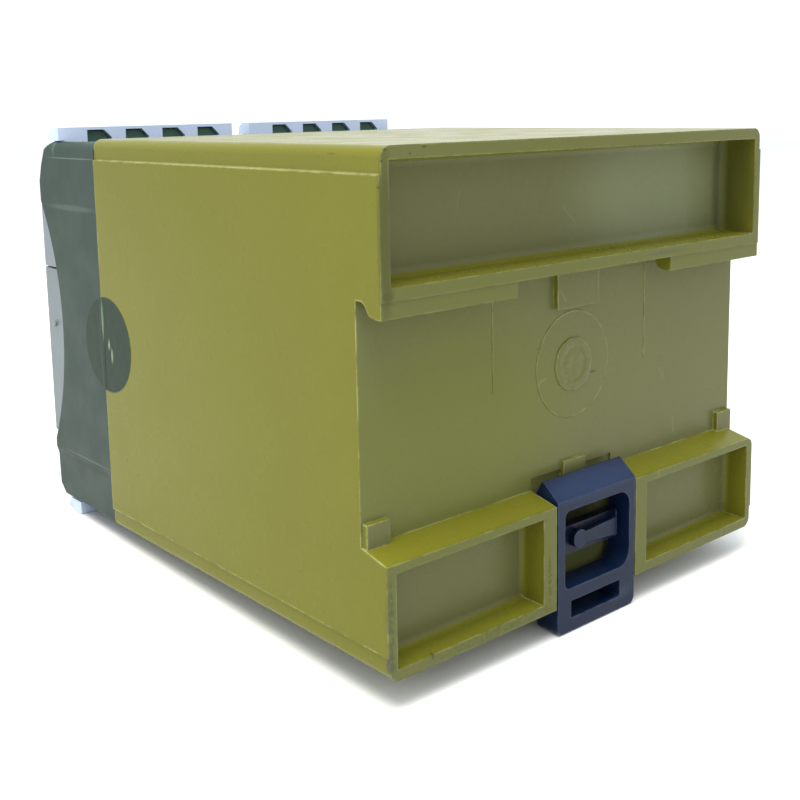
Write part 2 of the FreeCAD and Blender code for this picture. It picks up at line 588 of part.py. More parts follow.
def build_boards():
    """Terminal board behind the clamps, and a board along each side joined to it by a header."""
    face = block("face_board", ("board_edge", "width - board_edge"),
                 ("face_board_from", "face_board_from + board_thick"),
                 ("board_edge", "2 * mirror_up - board_edge"))
    holes = []
    for side in SIDES:
        for pole in POLES:
            holes.append(block(f"board_hole_{side}_{pole}", around(pole_middle(side, pole), "pin_half"),
                               ("face_board_from - spare", "face_board_from + board_thick + spare"),
                               around("screw_up", "pin_half")))
    drilled = fused("board_holes", holes)
    node(cut("terminal_board", face, [drilled, flipped("board_holes_low", drilled)]), "terminal_board")
    starts = {"relay_board": "left_board_across",
              "supply_board": "width - left_board_across - board_thick"}
    for label, start in starts.items():
        node(block(label + "_sheet", (start, f"{start} + board_thick"),
                   ("side_board_from", "side_board_to"),
                   ("side_board_low", "height - side_board_low")), label)
    plugs = {"relay_header": (f"{starts['relay_board']} + board_thick",
                              f"{starts['relay_board']} + board_thick + header_width"),
             "supply_header": (f"{starts['supply_board']} - header_width", starts["supply_board"])}
    for label, across in plugs.items():
        node(block(label + "_bar", across, ("header_from", "face_board_from"),
                   ("header_low", "header_high")), label)


def build_relays():
    """Sealed force-guided relays standing on the relay board."""
    face = "left_board_across + board_thick"
    for relay in RELAYS:
        start = f"relay_first + {relay} * relay_pitch"
        can = block(f"relay_can_{relay}", (f"{face} + relay_standoff", f"{face} + relay_tall"),
                    (start, f"{start} + relay_thick"), ("relay_low", "relay_low + relay_long"))
        pips = [block(f"relay_foot_{relay}_{end}", (face, f"{face} + relay_standoff * 2"),
                      (f"{start} + relay_thick / 4", f"{start} + relay_thick * 3 / 4"),
                      (f"{up} - relay_standoff", f"{up} + relay_standoff"))
                for end, up in (("low", "relay_low + relay_long / 6"),
                                ("high", "relay_low + relay_long * 5 / 6"))]
        node(fused(f"relay_{relay + 1}", [can] + pips), f"relay_{relay + 1}")


def build_transformer():
    """Mains transformer: a laminated frame through a moulded bobbin with its winding."""
    board = "width - left_board_across - board_thick"
    far = f"{board} - core_lift - core_tall"
    near_side = f"{board} - core_lift"
    middle_deep = "core_from + core_long / 2"
    middle_up = "(core_low + core_high) / 2"
    frame = block("core_block", (far, near_side), ("core_from", "core_from + core_long"),
                  ("core_low", "core_high"))
    limb = around(middle_deep, "core_limb / 2")
    windows = [block(f"core_window_{end}", (f"{far} - spare", f"{near_side} + spare"), deep,
                     ("core_low + core_limb", "core_high - core_limb"))
               for end, deep in (("rear", ("core_from + core_limb", limb[0])),
                                 ("front", (limb[1], "core_from + core_long - core_limb")))]
    node(cut("transformer_core", frame, windows), "transformer_core")
    reach = ("core_low + core_limb", "core_high - core_limb")
    bore = block("bobbin_bore", (f"{far} - joint_gap", f"{near_side} + joint_gap"),
                 around(middle_deep, "core_limb / 2 + joint_gap"), ("core_low", "core_high"))
    out = "joint_gap + bobbin_wall"
    sleeve_across = (f"{far} - ({out})", f"{near_side} + {out}")
    sleeve_deep = around(middle_deep, f"core_limb / 2 + {out}")
    sleeve = block("bobbin_sleeve", sleeve_across, sleeve_deep, reach)
    flanges = [block(f"bobbin_flange_{end}",
                     (f"{far} - coil_reach - bobbin_wall", f"{near_side} + core_lift - joint_gap"),
                     around(middle_deep, "coil_half"), up)
               for end, up in (("low", (reach[0], f"{reach[0]} + bobbin_wall")),
                               ("high", (f"{reach[1]} - bobbin_wall", reach[1])))]
    node(cut("transformer_bobbin", fused("bobbin_blank", [sleeve] + flanges), [bore]),
         "transformer_bobbin")
    coil = block("coil_block", (f"{far} - coil_reach", f"{near_side} + coil_reach"),
                 around(middle_deep, "coil_half - joint_gap * 2"),
                 (f"{reach[0]} + bobbin_wall", f"{reach[1]} - bobbin_wall"))
    heart = block("coil_heart", sleeve_across, sleeve_deep, ("core_low", "core_high"))
    node(cut("transformer_winding", coil, [heart]), "transformer_winding")
    ends = {"rear": ("core_from", "core_from + foot_thick"),
            "front": ("core_from + core_long - foot_thick", "core_from + core_long")}
    levels = {"low": ("core_low", "core_low + core_limb"), "high": ("core_high - core_limb", "core_high")}
    feet = [block(f"frame_foot_{end}_{level}", (near_side, board), ends[end], levels[level])
            for end in ends for level in levels]
    node(group("transformer_feet", feet), "transformer_feet")


def build_supply_parts():
    """Smoothing capacitors, fuse, surge limiter and rectifier on the supply board."""
    board = "width - left_board_across - board_thick"
    for can in CANS:
        up = f"can_low + {can} * can_pitch"
        tin = rod(f"can_{can}", "across", "can_deep", up, (f"{board} - can_tall", board), "can_radius")
        node(tin, f"capacitor_{can + 1}")
    axis = f"{board} - fuse_lift"
    tube = block("fuse_tube", around(axis, "fuse_half"), ("fuse_from", "fuse_from + fuse_long"),
                 around("fuse_low", "fuse_half"))
    clips = [block(f"fuse_clip_{end}", (f"{axis} + fuse_half - joint_gap", board), deep,
                   around("fuse_low", "fuse_half / 2"))
             for end, deep in (("rear", ("fuse_from", "fuse_from + cap_long / 4")),
                               ("front", ("fuse_from + fuse_long - cap_long / 4",
                                          "fuse_from + fuse_long")))]
    node(fused("fuse", [tube] + clips), "fuse")
    disc = rod("limiter_disc", "deep", f"{board} - disc_radius - pin_half", "disc_up",
               ("disc_deep - disc_thick / 2", "disc_deep + disc_thick / 2"), "disc_radius")
    stem = block("limiter_stem", (f"{board} - disc_radius", board), around("disc_deep", "pin_half"),
                 around("disc_up", "pin_half * 2"))
    node(fused("surge_limiter", [disc, stem]), "surge_limiter")
    bridge = block("bridge_body", (f"{board} - bridge_tall", f"{board} - joint_gap * 4"),
                   around("disc_deep", "bridge_long / 2"), ("bridge_low", "bridge_low + bridge_wide"))
    legs = [block(f"bridge_leg_{leg}", (f"{board} - joint_gap * 8", board),
                  around("disc_deep", "pin_half"),
                  around(f"bridge_low + {leg + 0.5} * bridge_wide / 4", "pin_half"))
            for leg in POLES]
    node(fused("rectifier", [bridge] + legs), "rectifier")


def build_seal():
    """Round tamper seal across the joint on the casing's left side."""
    node(rod("seal_disc", "across", "seal_deep", "seal_up", ("-seal_thick", "0"), "seal_radius"),
         "tamper_seal")


def check_and_export():
    """Stops on any failed object or bad shape, then writes each sub-part's file."""
    doc.recompute()
    for item in doc.Objects:
        if "Invalid" in item.State or "Error" in item.State:
            raise RuntimeError(f"{item.Name} did not recompute: {item.State}")
    os.makedirs("parts", exist_ok=True)
    for item in nodes:
        shape = item.Shape
        if shape.isNull() or not shape.isValid():
            raise RuntimeError(f"{item.Label} has no valid shape")
        shape.exportStep(f"parts/{item.Label}.step")
        print(f"{item.Label:28s} solids {len(shape.Solids):2d}  volume {shape.Volume / 1000:8.3f} cm3")


build_housing()
build_latch()
build_cover()
build_front_plate()
build_indicators()
build_terminals()
build_boards()
build_relays()
build_transformer()
build_supply_parts()
build_seal()
check_and_export()
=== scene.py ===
"""Visual model of a rail-mounted safety relay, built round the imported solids.

The housing rests on its rail latch and its lower terminal strips. Lengths are in metres, in the
frame of the solids: +X is the left side seen from behind, +Y the rear, +Z up.
"""
from __future__ import annotations

import json
import logging
import math
from dataclasses import dataclass, field
from enum import Enum
from typing import Callable, Sequence

import bpy
from mathutils import Matrix, Vector


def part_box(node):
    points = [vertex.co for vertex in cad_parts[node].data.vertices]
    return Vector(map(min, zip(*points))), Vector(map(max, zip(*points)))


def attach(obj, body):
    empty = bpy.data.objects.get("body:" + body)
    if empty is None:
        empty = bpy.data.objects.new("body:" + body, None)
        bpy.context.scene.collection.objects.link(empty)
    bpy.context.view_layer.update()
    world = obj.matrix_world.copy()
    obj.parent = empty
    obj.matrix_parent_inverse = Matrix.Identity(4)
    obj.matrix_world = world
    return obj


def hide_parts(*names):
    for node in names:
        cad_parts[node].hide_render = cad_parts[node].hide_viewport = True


LOG = logging.getLogger("safety_relay")
MM = 0.001
MERGE_GAP = 0.002 * MM
MERGE_ANGLE = math.radians(0.8)
FLAT_ANGLE = math.radians(35)
CREASE_ANGLE = math.radians(40)
FACING_FROM = 0.9
EDGE_GAIN = 3.0
Triple = tuple[float, float, float]

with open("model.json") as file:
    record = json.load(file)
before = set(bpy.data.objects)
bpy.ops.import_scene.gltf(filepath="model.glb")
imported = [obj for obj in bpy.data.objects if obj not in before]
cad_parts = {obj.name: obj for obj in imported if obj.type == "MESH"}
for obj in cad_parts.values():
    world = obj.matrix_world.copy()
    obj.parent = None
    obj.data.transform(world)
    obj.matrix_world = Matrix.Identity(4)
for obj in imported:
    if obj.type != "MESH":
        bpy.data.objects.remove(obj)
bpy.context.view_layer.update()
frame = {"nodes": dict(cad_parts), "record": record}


class Axis(Enum):
    """Directions of the object's frame."""

    X = 0
    Y = 1
    Z = 2


class Body(Enum):
    """The two bodies that pieces ride on."""

    CASE = "case"
    LATCH = "latch"


class Row(Enum):
    """The four terminal strips, named as seen from behind."""

    TOP_LEFT = "top_left"
    TOP_RIGHT = "top_right"
    BOTTOM_LEFT = "bottom_left"
    BOTTOM_RIGHT = "bottom_right"


# ---------------------------------------------------------------- shader maths


class Wire:
    """An output in a node tree, which Python's operators extend with Math nodes."""

    def __init__(self, tree: "Surface", source: bpy.types.NodeSocket) -> None:
        """Wraps one output socket of a tree."""
        self.tree = tree
        self.source = source

    def math(self, operation: str, *values: "Wire | float") -> "Wire":
        """Adds a Math node.

        Args:
            operation: the node's operation.
            values: its inputs in order.
        Returns:
            The node's result.
        """
        return self.tree.node("ShaderNodeMath", {"operation": operation}, dict(enumerate(values)))

    def __add__(self, other: "Wire | float") -> "Wire":
        """Sum."""
        return self.math("ADD", self, other)

    __radd__ = __add__

    def __sub__(self, other: "Wire | float") -> "Wire":
        """Difference."""
        return self.math("SUBTRACT", self, other)

    def __rsub__(self, other: "Wire | float") -> "Wire":
        """Difference, the other way round."""
        return self.math("SUBTRACT", other, self)

    def __mul__(self, other: "Wire | float") -> "Wire":
        """Product."""
        return self.math("MULTIPLY", self, other)

    __rmul__ = __mul__

    def __abs__(self) -> "Wire":
        """Size without sign."""
        return self.math("ABSOLUTE", self)

    def smooth(self, low: float, high: float) -> "Wire":
        """Runs smoothly from 0 at one value to 1 at another.

        Args:
            low: the value that gives 0.
            high: the value that gives 1, which may be the smaller of the two.
        Returns:
            The step.
        """
        ends = (low, high, 0.0, 1.0) if low < high else (high, low, 1.0, 0.0)
        values = dict(zip(("From Min", "From Max", "To Min", "To Max"), ends))
        settings = {"interpolation_type": "SMOOTHSTEP"}
        return self.tree.node("ShaderNodeMapRange", settings, {"Value": self, **values})

    def at_most(self, other: "Wire | float") -> "Wire":
        """The smaller of two values."""
        return self.math("MINIMUM", self, other)


class Surface:
    """A material's node tree, with a Principled shader ready to be fed."""

    def __init__(self, name: str) -> None:
        """Makes an empty material.

        Args:
            name: of the material.
        """
        self.material = bpy.data.materials.new(name)
        self.material.use_nodes = True
        self.nodes = self.material.node_tree.nodes
        self.links = self.material.node_tree.links
        self.shader = self.nodes["Principled BSDF"]
        self.place = self.node("ShaderNodeTexCoord", {}, {}, "Object")

    def node(self, kind: str, settings: dict, values: dict, output: int | str = 0) -> Wire:
        """Adds a node.

        Args:
            kind: the node's type.
            settings: attributes to set first.
            values: numbers, colours or wires for its inputs, by name or index.
            output: the output to return.
        Returns:
            That output.
        """
        made = self.nodes.new(kind)
        for key, value in settings.items():
            setattr(made, key, value)
        for key, value in values.items():
            self.feed(made.inputs[key], value)
        return Wire(self, made.outputs[output])

    def feed(self, socket: bpy.types.NodeSocket, value: Wire | float | Sequence[float]) -> None:
        """Links a wire to a socket, or sets its number or colour.

        Args:
            socket: the input.
            value: what it gets.
        """
        if isinstance(value, Wire):
            self.links.new(value.source, socket)
        elif socket.type == "RGBA":
            socket.default_value = (*value, 1.0)
        else:
            socket.default_value = value

    def shade(self, **inputs: Wire | float | Sequence[float]) -> None:
        """Feeds the Principled shader; an underscore stands for a space."""
        for name, value in inputs.items():
            self.feed(self.shader.inputs[name.replace("_", " ")], value)

    def moved(self, stretch: Triple = (1.0, 1.0, 1.0), turn: Triple = (0.0, 0.0, 0.0)) -> Wire:
        """Object coordinates, stretched and turned."""
        values = {"Vector": self.place, "Scale": stretch, "Rotation": turn}
        return self.node("ShaderNodeMapping", {}, values)

    def noise(self, scale: float, detail: float = 3.0, rough: float = 0.55,
              stretch: Triple = (1.0, 1.0, 1.0), turn: Triple = (0.0, 0.0, 0.0)) -> Wire:
        """Fractal noise.

        Args:
            scale: features per metre.
            detail: octaves.
            rough: weight of the finer octaves.
            stretch: scale along each direction.
            turn: rotation of the pattern.
        Returns:
            The noise, about 0.5.
        """
        values = {"Vector": self.moved(stretch, turn), "Scale": scale, "Detail": detail,
                  "Roughness": rough}
        return self.node("ShaderNodeTexNoise", {}, values)

    def cells(self, scale: float) -> Wire:
        """Distance to the nearest of scattered points."""
        values = {"Vector": self.place, "Scale": scale}
        return self.node("ShaderNodeTexVoronoi", {}, values, "Distance")

    def vector_math(self, operation: str, *values: Wire | Triple, output: int | str = 0) -> Wire:
        """Adds a Vector Math node, its inputs in order."""
        settings = {"operation": operation}
        return self.node("ShaderNodeVectorMath", settings, dict(enumerate(values)), output)

    def facing(self, axis: Axis) -> Wire:
        """The surface normal's part along one direction of the frame."""
        normal = self.node("ShaderNodeNewGeometry", {}, {}, "Normal")
        return self.node("ShaderNodeSeparateXYZ", {}, {"Vector": normal}, axis.value)

    def near(self, centre: Triple, reach: Triple) -> Wire:
        """Picks out a place.

        Args:
            centre: the middle of it.
            reach: how far it goes along each direction.
        Returns:
            1 about the middle, fading to 0 at the reach.
        """
        off = self.vector_math("SUBTRACT", self.place, centre)
        size = self.vector_math("LENGTH", self.vector_math("DIVIDE", off, reach), output="Value")
        return size.smooth(1.0, 0.35)

    def blend(self, mask: Wire, under: Wire | Triple, over: Wire | Triple) -> Wire:
        """Lays one colour over another where the mask is 1."""
        values = {"Factor": mask, 6: under, 7: over}
        return self.node("ShaderNodeMix", {"data_type": "RGBA"}, values, 2)

    def bump(self, height: Wire, depth: float, strength: float = 1.0) -> Wire:
        """A bumped normal from a height of 0 to 1 that stands for depth metres."""
        values = {"Height": height, "Distance": depth, "Strength": strength}
        return self.node("ShaderNodeBump", {}, values)

    def edge(self, radius: float) -> Wire:
        """Finds the edges.

        Args:
            radius: how far from an edge it is found.
        Returns:
            About 1 on an edge, and 0 on flats.
        """
        soft = self.node("ShaderNodeBevel", {"samples": 4}, {"Radius": radius})
        hard = self.node("ShaderNodeNewGeometry", {}, {}, "Normal")
        match = self.vector_math("DOT_PRODUCT", soft, hard, output="Value")
        return (1.0 - match) * EDGE_GAIN


def srgb(red: int, green: int, blue: int) -> Triple:
    """Linear colour of an 8-bit display colour."""
    return tuple(((c / 255 + 0.055) / 1.055) ** 2.4 if c > 10 else c / 255 / 12.92
                 for c in (red, green, blue))


def mm(*values: float) -> Triple:
    """Millimetres as metres."""
    return tuple(value * MM for value in values)


# ---------------------------------------------------------------- finishes


@dataclass(frozen=True)
class Mark:
    """A scuff, stain, rubbed place, painted highlight or painted shade on a finish."""

    centre: Triple
    reach: Triple
    colour: Triple
    strength: float = 0.8
    grain: float = 1400.0
    cover: float = 0.5
    fade: float = 0.12

    def lay(self, surface: Surface, tint: Wire) -> Wire:
        """Adds the mark to a colour.

        Args:
            surface: the tree that the colour is in.
            tint: the colour so far.
        Returns:
            The colour with the mark on it.
        """
        bare = 1.0 - self.cover
        broken = surface.noise(self.grain, 3.0, 0.7).smooth(bare - self.fade, bare)
        mask = surface.near(self.centre, self.reach) * broken * self.strength
        return surface.blend(mask, tint, self.colour)


def tone(centre: Triple, reach: Triple, colour: Triple, strength: float) -> Mark:
    """A soft and nearly unbroken change of colour, used for painted shade and painted light."""
    return Mark(centre, reach, colour, strength, 60.0, 0.98)


@dataclass(frozen=True)
class MouldedPlastic:
    """Injection-moulded plastic with fine grain, flow mottling, handling marks and painted light
    and shade.
    """

    name: str
    colour: Triple
    deep: float = 0.82
    roughness: float = 0.46
    gloss: float = 0.5
    grain: float = 0.03 * MM
    grain_size: float = 0.35 * MM
    mottle: float = 0.35
    mottle_scale: float = 22.0
    fine: float = 0.18
    fine_scale: float = 900.0
    specks: float = 0.4
    speck_scale: float = 330.0
    speck_cluster_scale: float = 60.0
    speck_colour: Triple = (0.02, 0.02, 0.018)
    wear_and_highlight: float = 0.3
    edge_patch_scale: float = 260.0
    edge_reach: float = 0.5 * MM
    wear_and_highlight_colour: Triple = (0.30, 0.30, 0.28)
    rear_sheen: float = 0.0
    rear_sheen_colour: Triple = (0.095, 0.103, 0.082)
    hairs: float = 0.0
    hair_scale: float = 75.0
    hair_half_width: float = 0.0035
    hair_place_scale: float = 190.0
    polish_scale: float = 120.0
    coat: float = 0.0
    marks: tuple[Mark, ...] = ()

    def moulded(self, surface: Surface) -> Wire:
        """Mixes the colour as it leaves the mould: mottled, grained and specked.

        Args:
            surface: the tree that it is mixed in.
        Returns:
            The colour.
        """
        dark = tuple(c * self.deep for c in self.colour)
        broad = surface.noise(self.mottle_scale, 4.0, 0.6).smooth(0.32, 0.68)
        tint = surface.blend(broad * self.mottle, self.colour, dark)
        fine = surface.noise(self.fine_scale, 2.0).smooth(0.35, 0.75)
        tint = surface.blend(fine * self.fine, tint, dark)
        thinned = surface.noise(self.speck_cluster_scale, 2.0).smooth(0.62, 0.7)
        speck = surface.cells(self.speck_scale).smooth(0.07, 0.035) * thinned
        return surface.blend(speck * self.specks, tint, self.speck_colour)

    def wear_and_painted_light(self, surface: Surface, tint: Wire) -> Wire:
        """Adds rubbed edges with painted highlights, then painted rear sheen, hair scratches and
        marks.

        Args:
            surface: the tree that the colour is in.
            tint: the colour so far.
        Returns:
            The worn colour.
        """
        # rubbed edges in patches; on the casing and the latch their light colour is mostly painted
        # edge highlight
        patchy = surface.noise(self.edge_patch_scale, 4.0, 0.7).smooth(0.38, 0.6)
        edge_rub_and_highlight = surface.edge(self.edge_reach).smooth(0.08, 0.45) * patchy * self.wear_and_highlight
        tint = surface.blend(edge_rub_and_highlight.at_most(1.0), tint, self.wear_and_highlight_colour)
        # painted sheen: faces that look to the rear are blended towards a greyer colour, standing
        # in for hazy reflection on them
        if self.rear_sheen:
            rear_sheen_mask = surface.facing(Axis.Y).smooth(0.6, 0.95) * self.rear_sheen
            tint = surface.blend(rear_sheen_mask, tint, self.rear_sheen_colour)
        if self.hairs:
            path = surface.noise(self.hair_scale, 1.0, 0.5, (1.0, 1.0, 0.45), (0.5, 0.4, 0.2))
            some = surface.noise(self.hair_place_scale, 1.0).smooth(0.6, 0.66)
            hair = abs(path - 0.5).smooth(self.hair_half_width, 0.001) * some * self.hairs
            hair = hair * surface.facing(Axis.Y).smooth(0.6, 0.95)
            tint = surface.blend(hair, tint, self.wear_and_highlight_colour)
        for mark in self.marks:
            tint = mark.lay(surface, tint)
        return tint

    def material(self) -> bpy.types.Material:
        """Builds the finish.

        Returns:
            The material.
        """
        surface = Surface(self.name)
        tint = self.wear_and_painted_light(surface, self.moulded(surface))
        polish = surface.noise(self.polish_scale, 3.0).smooth(0.3, 0.7)
        grain = surface.noise(1.0 / self.grain_size, 2.0, 0.6)
        surface.shade(Base_Color=tint, Roughness=polish * 0.1 + (self.roughness - 0.05),
                      Specular_IOR_Level=self.gloss, Coat_Weight=self.coat,
                      Normal=surface.bump(grain, self.grain, 0.8))
        return surface.material


@dataclass(frozen=True)
class PlainMetal:
    """Plated or drawn metal with a fine directional brush and stains."""

    name: str
    colour: Triple
    roughness: float = 0.32
    stripe: Triple = (1.0, 1.0, 12.0)
    stain_scale: float = 240.0
    brush_scale: float = 1500.0
    brush_depth: float = 0.01 * MM

    def material(self) -> bpy.types.Material:
        """Builds the finish.

        Returns:
            The material.
        """
        surface = Surface(self.name)
        dull = tuple(c * 0.6 for c in self.colour)
        stain = surface.noise(self.stain_scale, 4.0, 0.6).smooth(0.5, 0.75)
        brush = surface.noise(self.brush_scale, 2.0, 0.5, self.stripe)
        surface.shade(Base_Color=surface.blend(stain * 0.5, self.colour, dull), Metallic=1.0,
                      Roughness=brush * 0.15 + self.roughness + stain * 0.12,
                      Normal=surface.bump(brush, self.brush_depth, 0.5))
        return surface.material


@dataclass(frozen=True)
class ClearPlastic:
    """Clear or tinted moulding that lets light through."""

    name: str
    colour: Triple
    through: float = 0.8
    roughness: float = 0.12
    haze_scale: float = 300.0
    haze_colour: Triple = (0.9, 0.9, 0.88)

    def material(self) -> bpy.types.Material:
        """Builds the finish.

        Returns:
            The material.
        """
        surface = Surface(self.name)
        haze = surface.noise(self.haze_scale, 3.0).smooth(0.35, 0.75)
        surface.shade(Base_Color=surface.blend(haze * 0.2, self.colour, self.haze_colour),
                      Roughness=haze * 0.12 + self.roughness,
                      Transmission_Weight=self.through, IOR=1.5)
        return surface.material


@dataclass(frozen=True)
class SealFilm:
    """Thin clouded film of a seal, whitened where it is creased and torn over the joint."""

    name: str
    colour: Triple
    cloud: Triple
    white: Triple
    marks: tuple[Mark, ...] = ()
    crease_scale: float = 260.0
    crease_depth: float = 0.03 * MM
    fine_scale: float = 800.0
    rim_width: float = 0.2 * MM

    def material(self) -> bpy.types.Material:
        """Builds the finish.

        Returns:
            The material.
        """
        surface = Surface(self.name)
        crease = surface.noise(self.crease_scale, 5.0, 0.65).smooth(0.4, 0.7)
        fine = surface.noise(self.fine_scale, 2.0)
        tint = surface.blend(crease, self.colour, self.cloud)
        for mark in self.marks:
            tint = mark.lay(surface, tint)
        rim = surface.edge(self.rim_width).smooth(0.1, 0.6) * 0.6
        tint = surface.blend(rim.at_most(1.0), tint, self.white)
        height = crease + fine * 0.2
        surface.shade(Base_Color=tint, Roughness=crease * 0.1 + 0.32,
                      Alpha=0.985 - crease * 0.03, Specular_IOR_Level=0.08,
                      Normal=surface.bump(height, self.crease_depth, 0.5))
        return surface.material


OLIVE = srgb(103, 102, 30)
SCUFF_GREY = srgb(66, 67, 64)
SPECK_DARK = srgb(40, 40, 30)
TORN_WHITE = srgb(120, 132, 108)
CASING_MARKS = (
    # scuffed left corners of the lower and the upper block
    Mark(mm(44.4, 4.4, -27.0), mm(0.8, 1.2, 9.0), SCUFF_GREY, 0.8, 900.0, 0.47),
    Mark(mm(44.5, 4.4, -33.4), mm(1.1, 1.2, 2.2), SCUFF_GREY, 0.9, 1100.0, 0.52),
    Mark(mm(43.8, 4.5, 18.6), mm(1.5, 1.2, 0.9), SCUFF_GREY, 0.7, 1500.0, 0.5),
    # nicks along the upper block's rim
    Mark(mm(43.9, 4.6, 38.2), mm(0.4, 0.5, 0.25), SPECK_DARK, 0.8, 1500.0, 0.7),
    Mark(mm(37.0, 4.6, 38.35), mm(0.6, 0.5, 0.22), SPECK_DARK, 0.8, 1500.0, 0.7),
    Mark(mm(39.5, 4.6, 37.5), mm(0.3, 0.5, 0.2), SPECK_DARK, 0.7, 1500.0, 0.7),
    Mark(mm(44.5, 4.5, 36.7), mm(0.3, 0.5, 0.25), SPECK_DARK, 0.7, 1500.0, 0.7),
    Mark(mm(45.0, 4.4, 33.3), mm(0.4, 0.5, 0.25), SPECK_DARK, 0.7, 1500.0, 0.7),
    # rubbed hook lip, scratched latch slot, and nicks low down, on top and in the channel
    Mark(mm(-17.7, 4.6, 18.8), mm(7.5, 0.6, 0.4), srgb(70, 76, 88), 0.7, 1200.0, 0.52),
    Mark(mm(11.6, 4.5, -30.4), mm(0.6, 0.8, 6.6), SPECK_DARK, 0.7, 1500.0, 0.42),
    Mark(mm(36.7, 4.5, -34.7), mm(0.25, 0.9, 0.9), SPECK_DARK, 0.9, 400.0, 0.9),
    Mark(mm(45.0, -6.0, 37.5), mm(0.8, 1.6, 0.25), SPECK_DARK, 0.5, 1200.0, 0.7),
    Mark(mm(-5.2, -1.0, -0.6), mm(1.2, 0.6, 0.3), SPECK_DARK, 0.6, 1500.0, 0.55),
    Mark(mm(20.0, 4.6, -35.3), mm(24.0, 0.8, 1.2), SPECK_DARK, 0.4, 1600.0, 0.42),
    # painted light on the upper pocket's floor, and a painted highlight along the side panel's
    # upper edge
    tone(mm(-24.0, -2.4, 28.5), mm(30.0, 1.2, 16.0), srgb(120, 126, 96), 0.5),
    Mark(mm(44.9, -37.0, 35.0), mm(1.2, 60.0, 0.2), srgb(156, 156, 98), 0.75, 300.0, 0.95),
    # painted shade on the rims, the channel's left half, the upper pocket's right end and the left
    # rim
    tone(mm(0.0, 4.6, 0.0), mm(90.0, 0.8, 80.0), srgb(83, 86, 28), 0.5),
    tone(mm(26.0, -1.2, -5.0), mm(34.0, 1.6, 26.0), srgb(94, 98, 22), 0.45),
    tone(mm(-42.0, -1.8, 28.5), mm(2.4, 2.2, 16.0), srgb(60, 62, 30), 0.5),
    tone(mm(-43.5, 1.0, 28.5), mm(1.0, 6.0, 16.0), srgb(66, 68, 34), 0.6),
    tone(mm(44.0, 4.6, 26.5), mm(2.0, 1.0, 16.0), srgb(62, 64, 28), 0.6),
    # painted shade in the slot behind the latch
    tone(mm(0.0, -1.3, -22.0), mm(10.5, 1.4, 6.0), srgb(22, 26, 20), 0.85),
    tone(mm(0.0, -1.3, -30.0), mm(10.5, 1.4, 7.0), srgb(62, 66, 30), 0.75),
)
COVER_MARKS = (
    # painted light on the keys that fill the strips' notches, which lie in shade
    tone(mm(0.0, -96.3, 38.5), mm(80.0, 1.0, 6.0), srgb(66, 96, 84), 0.95),
    # painted highlight lines along the cheek, painted shade on its lower band, and the dark joint
    # to the housing
    Mark(mm(44.8, -88.0, 35.0), mm(1.2, 15.0, 0.16), srgb(92, 108, 98), 0.7, 300.0, 0.95),
    Mark(mm(44.8, -89.5, 25.4), mm(1.2, 14.0, 0.8), srgb(76, 92, 84), 0.4, 200.0, 0.9),
    Mark(mm(44.8, -88.0, -25.0), mm(1.2, 15.0, 0.25), srgb(88, 102, 94), 0.5, 300.0, 0.95),
    Mark(mm(44.8, -88.0, -26.4), mm(1.2, 16.0, 1.1), srgb(14, 24, 18), 0.45, 100.0, 0.98),
    Mark(mm(44.8, -78.62, -1.0), mm(1.2, 0.16, 60.0), (0.006, 0.008, 0.006), 0.9, 100.0, 0.98),
)
LATCH_MARKS = (
    # painted light on the bevelled nose, with its parting line; rubbed foot; painted shade inside
    # the window
    tone(mm(0.0, 3.2, -17.6), mm(16.0, 3.6, 3.0), srgb(28, 46, 80), 0.6),
    Mark(mm(1.8, 3.4, -18.9), mm(0.12, 2.4, 1.1), (0.002, 0.003, 0.006), 0.9, 300.0, 0.95),
    Mark(mm(-6.0, 4.6, -38.0), mm(4.0, 0.6, 1.6), srgb(60, 72, 96), 0.35, 1500.0, 0.45),
    tone(mm(0.0, 1.2, -27.0), mm(11.0, 2.3, 11.0), (0.002, 0.004, 0.011), 0.85),
)
SEAL_MARKS = (
    # film torn along the joint
    Mark(mm(45.1, -78.1, 4.9), mm(0.9, 0.5, 5.2), srgb(104, 120, 100), 0.85, 500.0, 0.7),
    Mark(mm(45.1, -76.0, 0.4), mm(0.9, 0.6, 1.4), TORN_WHITE, 0.9, 900.0, 0.58),
    Mark(mm(45.1, -75.0, -1.6), mm(0.9, 0.5, 1.9), TORN_WHITE, 0.9, 900.0, 0.6),
)
Finish = MouldedPlastic | PlainMetal | ClearPlastic | SealFilm
